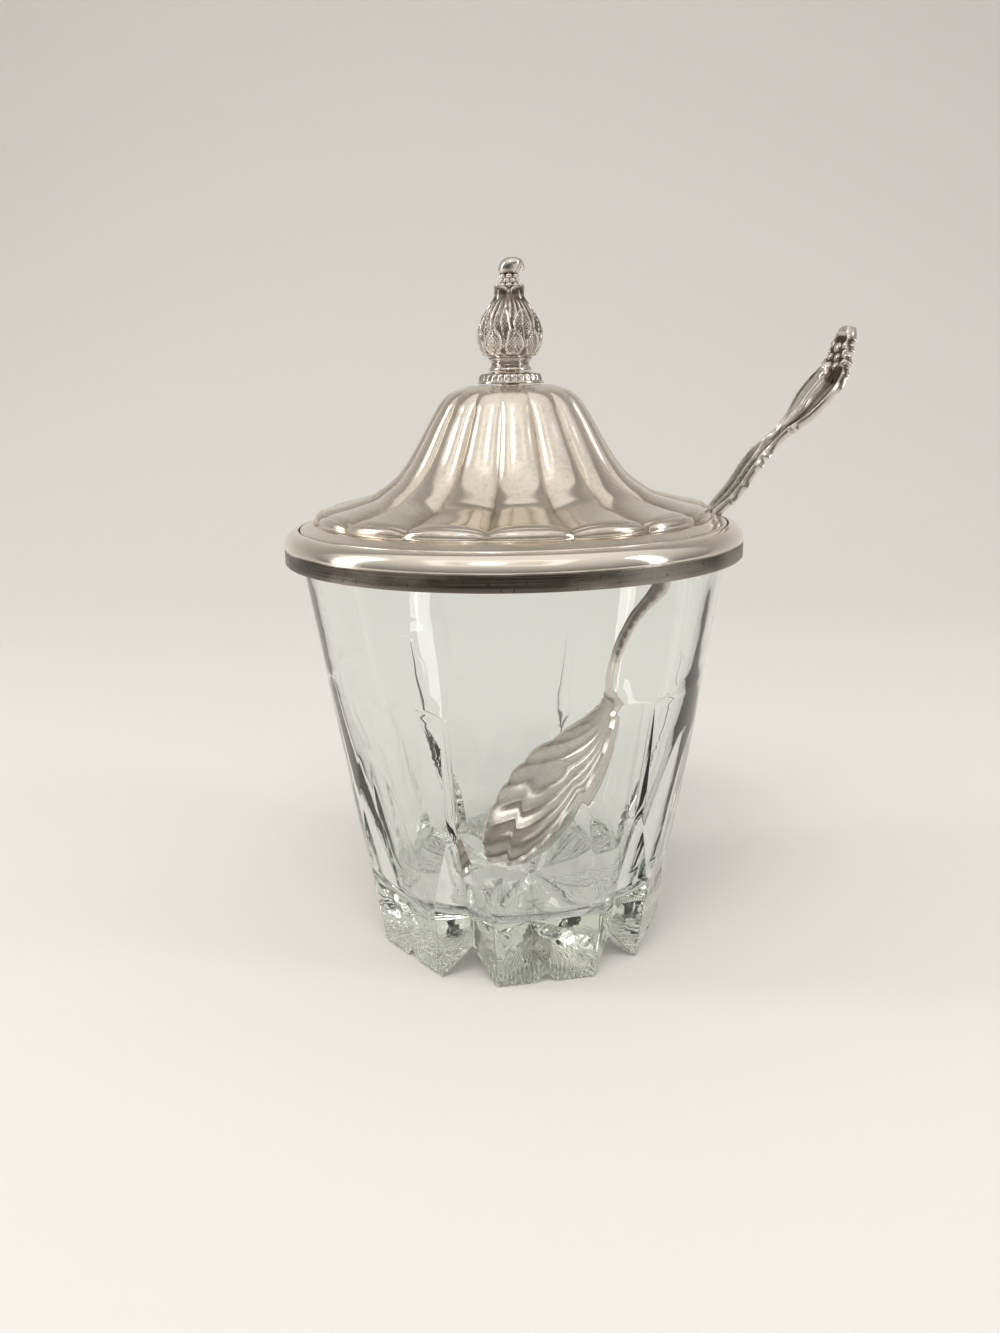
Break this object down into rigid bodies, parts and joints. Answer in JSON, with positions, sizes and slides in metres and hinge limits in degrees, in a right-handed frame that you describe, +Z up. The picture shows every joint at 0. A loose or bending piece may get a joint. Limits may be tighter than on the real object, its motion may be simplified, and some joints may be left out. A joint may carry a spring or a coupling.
{
  "type": "sugar jar",
  "caption": "Covered cut glass sugar jar with a silver plated collar, a lobed domed lid with a bud knob, and a shell bowl spoon standing through a notch in the lid's edge.",
  "frame": {"origin": "middle of the bounding box in plan, at the standing surface; the jar's own axis is upright through x = -0.0128 m, y = 0", "axes": "+Z up along the jar's axis, +X towards the spoon's handle, -Y the side that the picture shows"},
  "size_m": [0.1296, 0.104, 0.1566],
  "materials": {
    "glass": "clear pressed and cut glass, fire polished, very slightly grey-green",
    "silver": "polished silver plate with faint warm tarnish in the hollows",
    "dark_silver": "polished silver plate with a brushed, darkened band",
    "brass": "plain turned brass",
    "rubber": "pale soft liner, matt"
  },
  "bodies": {
    "jar": {"glass_jar": "glass", "collar_ring": "dark_silver", "collar_liner": "rubber"},
    "lid": {"lid_shell": "silver", "lid_bezel": "silver", "knob_base": "silver", "bud_knob": "silver", "knob_stud": "brass", "stud_washer": "brass", "stud_nut": "brass"},
    "spoon": {"sugar_spoon": "silver"}
  },
  "joints": [
    {"name": "lid_lift", "type": "slide", "parent": "jar", "child": "lid", "axis": [0, 0, 1], "range_m": [0, 0.055]},
    {"name": "spoon_pull", "type": "slide", "parent": "jar", "child": "spoon", "axis": [0.544, 0.0404, 0.8381], "range_m": [0, 0.018]}
  ]
}
